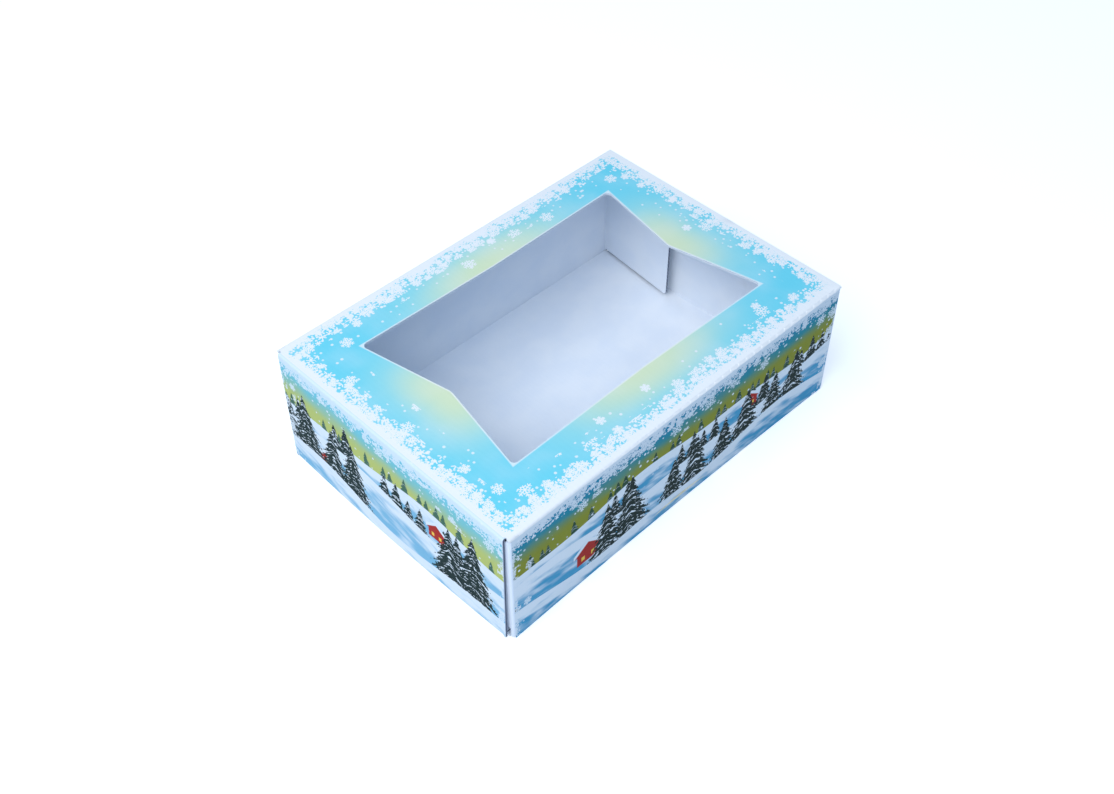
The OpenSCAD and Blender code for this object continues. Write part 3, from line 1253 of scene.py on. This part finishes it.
@dataclass
class End:
    """One end of the box: a closure with its tuck flap, and two dust flaps behind it."""

    carton: Carton
    finishes: Finishes
    softness: Softness
    side: str
    lean: float
    closure_width: float
    swings: Point
    tuck_length: float = 22.0
    tuck_rise: float = 11.0
    tuck_corner: float = 14.0
    tuck_inset: float = 3.5
    dust_length: float = 65.0
    dust_taper: float = 3.0
    dust_corner: float = 3.0
    dust_root: float = 1.0
    play: float = 0.05

    @property
    def place_in(self) -> Matrix:
        """Where this end goes: the right one is the left one turned over."""
        return Matrix.Identity(4) if self.side == "left" else self.carton.turned_over

    @property
    def tuck_z(self) -> float:
        """Height of the tuck flap's crease on the left end."""
        return 2 * self.carton.thick + self.carton.gap

    @property
    def depth(self) -> float:
        """Distance between the closure's two creases."""
        return (self.carton.fold_z - self.tuck_z) / math.cos(math.radians(self.lean))

    @property
    def tuck_width(self) -> float:
        """Width of the tuck flap."""
        return 2 * (self.carton.fold_y - self.tuck_inset)

    def rows(self, turn: float) -> list[float]:
        """Rows of points round a crease bead, from its crease to that turn in degrees."""
        arc_length = self.carton.thick * math.radians(turn)
        count = max(4, round(turn / 18))
        return [-arc_length * n / count for n in range(count + 1)]

    def warp(self) -> Callable[[Vector], Vector]:
        """How this end's closure and tuck flap bow."""
        return self.softness.left_end if self.side == "left" else lambda point: point

    def flap_place(self, frame: Matrix, seat_at: float, seat_half: float) -> Callable[[float, float, float], Vector]:
        """Makes the function that folds a flap and puts it in place.

        Args:
            frame: The flap's own frame, with the crease on Y and the flap along X.
            seat_at: Where the flap has a round seat for a further crease, or infinity.
            seat_half: Half the length of that seat.

        Returns:
            A function from the flat sheet to the frame.
        """
        size = self.carton
        fold = Fold(size.thick)

        def place(ahead: float, aside: float, depth: float) -> Vector:
            """Puts a point of the flat flap in place."""
            along, rise = fold.bend(ahead, depth)
            if abs(ahead - seat_at) < 1e-4 and abs(aside) < seat_half + 1e-3:
                along = seat_at - size.seat_cut(depth) - self.play
            return frame @ Vector((along, aside, -rise))

        return place

    def closure(self) -> bpy.types.Object:
        """The end wall, with a bead at its hinge and a seat for its tuck flap."""
        size = self.carton
        frame = (self.place_in @ Matrix.Translation((-size.end_x, 0, size.fold_z))
                 @ Matrix.Rotation(math.radians(90 + self.lean), 4, "Y"))
        half, seat = self.closure_width / 2, self.tuck_width / 2 + size.gap
        back = -math.pi * size.thick
        foot, tab = self.depth, self.depth + size.thick
        outline = [(back, -half), (tab, -half), (tab, -seat), (foot, -seat), (foot, seat), (tab, seat),
                   (tab, half), (back, half)]
        face = Face.LEFT if self.side == "left" else Face.RIGHT
        if self.side == "left":
            def stamp(ahead: float, aside: float) -> Point:
                """The print as it stands on the left closure."""
                return -aside, size.fold_z - ahead
        else:
            def stamp(ahead: float, aside: float) -> Point:
                """The print as it stands on the right closure."""
                return aside, size.thick + ahead
        sheet = Sheet(f"{self.side}_end_board", outline, self.flap_place(frame, foot, seat), stamp, size.board,
                      rows=self.rows(180), warp=self.warp())
        return sheet.build(self.finishes.flap(self.finishes.faces[face]))

    def tuck(self) -> bpy.types.Object:
        """The tuck flap, with a bead at its crease."""
        size = self.carton
        lean = math.radians(self.lean)
        x = -size.end_x - self.depth * math.sin(lean)
        frame = (self.place_in @ Matrix.Translation((x, 0, self.tuck_z))
                 @ Matrix.Rotation(math.radians(-self.tuck_rise), 4, "Y"))
        half, length, corner = self.tuck_width / 2, self.tuck_length, self.tuck_corner
        back = -math.pi * size.thick
        outline = rounded([(back, -half), (length, -half), (length, half), (back, half)], [0, corner, corner, 0])
        sheet = Sheet(f"{self.side}_tuck_board", outline, self.flap_place(frame, math.inf, 0.0),
                      lambda ahead, aside: (aside, ahead), size.board, rows=self.rows(180), warp=self.warp())
        return sheet.build(self.finishes.flap(self.finishes.liner))

    def dust_flap(self, place: str, swing: float) -> bpy.types.Object:
        """A dust flap.

        Args:
            place: "front" or "back".
            swing: How far it has sprung inwards, in degrees.

        Returns:
            The mesh object.
        """
        size = self.carton
        mirror = Matrix.Identity(4) if place == "front" else Matrix.Diagonal((1, -1, 1, 1))
        upright = Matrix.Rotation(math.pi / 2, 4, "Z") @ Matrix.Rotation(math.pi / 2, 4, "X")
        middle = size.height / 2
        frame = (self.place_in @ mirror @ Matrix.Translation((-size.dust_x, -size.fold_y, middle))
                 @ Matrix.Rotation(math.radians(-swing), 4, "Z") @ upright)
        low = self.tuck_z + self.tuck_length * math.sin(math.radians(self.tuck_rise)) + 2 * size.gap - middle
        high = size.fold_z - size.thick - size.gap - middle
        crease = (size.fold_z - size.gap - size.thick - size.gap) / 2
        back = -math.pi * size.thick
        length, root, corner = self.dust_length, self.dust_root, self.dust_corner
        outline = rounded([(back, -crease), (root, -crease), (root, low), (length, low + self.dust_taper),
                           (length, high), (root, high), (root, crease), (back, crease)],
                          [0, 0, 0, corner, corner, 0, 0, 0])
        sheet = Sheet(f"{self.side}_{place}_wing", outline, self.flap_place(frame, math.inf, 0.0),
                      lambda ahead, aside: (ahead, aside), size.board, rows=self.rows(180))
        return sheet.build(self.finishes.flap(self.finishes.liner))

    def build(self) -> None:
        """Builds this end's pieces, each on its own body."""
        front, back = self.swings
        pieces = (
            (self.closure(), f"{self.side}_closure", "printed_ends"),
            (self.tuck(), f"{self.side}_tuck_flap", "plain_board"),
            (self.dust_flap("front", front), f"{self.side}_front_dust_flap", "plain_board"),
            (self.dust_flap("back", back), f"{self.side}_back_dust_flap", "plain_board"),
        )
        for piece, node, slot in pieces:
            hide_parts(node)
            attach(piece, node)


@dataclass
class Studio:
    """The floor, the lights, the backdrop and the camera."""

    azimuth: float = -44.339
    elevation: float = 46.154
    roll: float = 0.353
    distance: float = 0.80105
    target: tuple[float, float, float] = (-0.02088, -0.01362, 0.045)
    focal_share: float = 1327.8 / 1114
    sensor: float = 36.0
    fill: Colour = (0.38, 0.60, 0.90, 1.0)
    fill_strength: float = 0.6
    key_power: float = 17.8
    front_power: float = 4.8

    def camera(self) -> None:
        """Sets the camera at the photograph's viewing angle."""
        azimuth, elevation = math.radians(self.azimuth), math.radians(self.elevation)
        back = Vector((math.sin(azimuth) * math.cos(elevation), -math.cos(azimuth) * math.cos(elevation),
                       math.sin(elevation)))
        right = Vector((0, 0, 1)).cross(back).normalized()
        up = back.cross(right)
        data = bpy.data.cameras.new("camera")
        data.sensor_width = self.sensor
        data.lens = self.focal_share * self.sensor
        camera = bpy.data.objects.new("camera", data)
        turn = Matrix((right, up, back)).transposed().to_4x4() @ Matrix.Rotation(-math.radians(self.roll), 4, "Z")
        camera.matrix_world = Matrix.Translation(Vector(self.target) + back * self.distance) @ turn
        bpy.context.scene.collection.objects.link(camera)
        bpy.context.scene.camera = camera

    def lamp(self, name: str, place: tuple[float, float, float], size: float, power: float, colour: Colour) -> None:
        """A square soft light, aimed at the box.

        Args:
            name: The lamp's name.
            place: Where it hangs, in metres.
            size: Its side, in metres.
            power: Its power, in watts.
            colour: Its colour.
        """
        data = bpy.data.lights.new(name, "AREA")
        data.size = size
        data.energy = power
        data.color = colour[:3]
        lamp = bpy.data.objects.new(name, data)
        aim = (Vector((0, 0, 0.04)) - Vector(place)).to_track_quat("-Z", "Y").to_matrix().to_4x4()
        lamp.matrix_world = Matrix.Translation(place) @ aim
        bpy.context.scene.collection.objects.link(lamp)

    def seen(self, tree: bpy.types.NodeTree) -> bpy.types.NodeSocket:
        """1 for rays from the camera, and for those in reflections and through glass."""
        path = tree.nodes.new("ShaderNodeLightPath")
        total = Ink(tree, path.outputs["Is Camera Ray"]) + Ink(tree, path.outputs["Is Glossy Ray"])
        return (total + Ink(tree, path.outputs["Is Transmission Ray"])).math("MINIMUM", 1.0).socket

    def world(self) -> None:
        """A soft blue-white surround that the camera sees as white."""
        world = bpy.data.worlds.new("surround")
        bpy.context.scene.world = world
        world.use_nodes = True
        tree = world.node_tree
        tree.nodes.clear()
        light = tree.nodes.new("ShaderNodeBackground")
        light.inputs["Color"].default_value = self.fill
        light.inputs["Strength"].default_value = self.fill_strength
        white = tree.nodes.new("ShaderNodeBackground")
        white.inputs["Color"].default_value = (1, 1, 1, 1)
        mix = tree.nodes.new("ShaderNodeMixShader")
        out = tree.nodes.new("ShaderNodeOutputWorld")
        tree.links.new(self.seen(tree), mix.inputs[0])
        tree.links.new(light.outputs[0], mix.inputs[1])
        tree.links.new(white.outputs[0], mix.inputs[2])
        tree.links.new(mix.outputs[0], out.inputs["Surface"])

    def floor(self) -> None:
        """A plain pale floor that keeps the box's shadow."""
        mesh = bpy.data.meshes.new("floor")
        reach = 6.0
        mesh.from_pydata([(-reach, -reach, 0), (reach, -reach, 0), (reach, reach, 0), (-reach, reach, 0)], [],
                         [(0, 1, 2, 3)])
        floor = bpy.data.objects.new("floor", mesh)
        floor.location.z = -0.0002
        bpy.context.scene.collection.objects.link(floor)
        material = bpy.data.materials.new("pale_floor")
        material.use_nodes = True
        tree = material.node_tree
        tree.nodes.clear()
        matt = tree.nodes.new("ShaderNodeBsdfDiffuse")
        matt.inputs["Color"].default_value = printed(232, 236, 242)
        bright = tree.nodes.new("ShaderNodeEmission")
        bright.inputs["Color"].default_value = (1, 1, 1, 1)
        bright.inputs["Strength"].default_value = 0.5
        lit = tree.nodes.new("ShaderNodeAddShader")
        mix = tree.nodes.new("ShaderNodeMixShader")
        out = tree.nodes.new("ShaderNodeOutputMaterial")
        tree.links.new(matt.outputs[0], lit.inputs[0])
        tree.links.new(bright.outputs[0], lit.inputs[1])
        tree.links.new(self.seen(tree), mix.inputs[0])
        tree.links.new(matt.outputs[0], mix.inputs[1])
        tree.links.new(lit.outputs[0], mix.inputs[2])
        tree.links.new(mix.outputs[0], out.inputs["Surface"])
        mesh.materials.append(material)

    def build(self) -> None:
        """Sets up the studio."""
        bpy.context.scene.view_settings.view_transform = "Standard"
        self.camera()
        self.world()
        self.floor()
        self.lamp("key", (-0.92, 0.05, 1.42), 1.3, self.key_power, (1.0, 0.985, 0.95, 1.0))
        self.lamp("front_fill", (-0.72, -0.68, 1.3), 0.9, self.front_power, (0.95, 0.98, 1.0, 1.0))


def main() -> None:
    """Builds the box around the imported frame."""
    logging.basicConfig(level=logging.INFO, format="%(name)s %(message)s")
    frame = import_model()
    carton = Carton.from_frame()
    closure_low, closure_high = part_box("left_closure")
    closure_width = (closure_high.y - closure_low.y) / MM
    board = carton.board
    half_length, half_width = carton.length / 2, carton.width / 2
    window = Window()
    faces = {face: Landscape(board, face, WALL_INKS if face in (Face.FRONT, Face.BACK) else END_INKS,
                             half_length if face in (Face.FRONT, Face.BACK) else half_width, carton.height).make()
             for face in Face}
    finishes = Finishes(top=TopPrint(board, half_length, half_width, window).make(), faces=faces,
                        liner=Liner(board).make(), edge=CutEdge(board).make(),
                        # The flaps' cut edges: paper and flute pockets are both painted much darker, as painted shade.
                        shaded_flap_edge=CutEdge(board, "shaded_flap_edge", printed(168, 178, 196), printed(66, 73, 92)).make())
    softness = Softness(carton)
    Sleeve(carton, finishes, softness, closure_width, window).build()
    End(carton, finishes, softness, "left", 0.9, closure_width, (2.5, 3.0)).build()
    End(carton, finishes, softness, "right", 0.0, closure_width, (2.0, 5.5)).build()
    glue = frame["nodes"]["seam_glue"]
    glue.data.materials.clear()
    glue.data.materials.append(DriedGlue().make())
    Studio().build()


if __name__ == "__main__":
    main()
